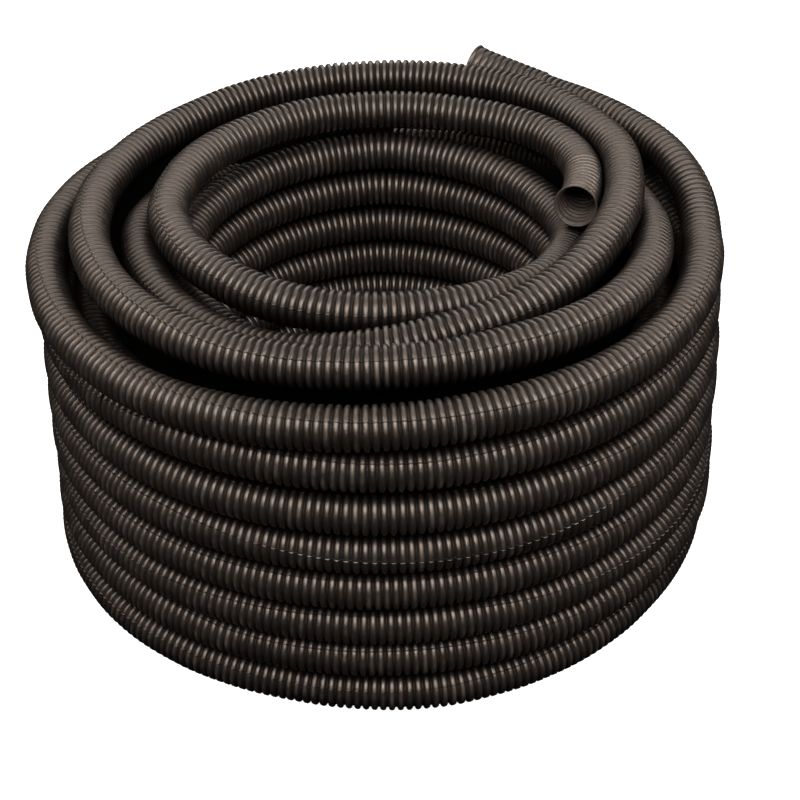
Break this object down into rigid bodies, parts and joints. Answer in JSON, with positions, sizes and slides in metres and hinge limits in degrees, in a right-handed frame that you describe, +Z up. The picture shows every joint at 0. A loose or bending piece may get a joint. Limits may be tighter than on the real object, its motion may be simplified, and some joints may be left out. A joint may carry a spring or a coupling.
{
  "type": "corrugated conduit",
  "caption": "Coil of black corrugated plastic conduit for cables, wound in close turns with both ends open.",
  "frame": {"origin": "centre of the coil at the face it stands on", "axes": "+Z up along the coil's axis, +X towards the inner open end, +Y towards the side where the outer open end is"},
  "size_m": [0.3463, 0.346, 0.1915],
  "materials": {
    "conduit": "black moulded plastic with a soft sheen"
  },
  "bodies": {
    "root": {"conduit": "conduit"}
  },
  "joints": []
}
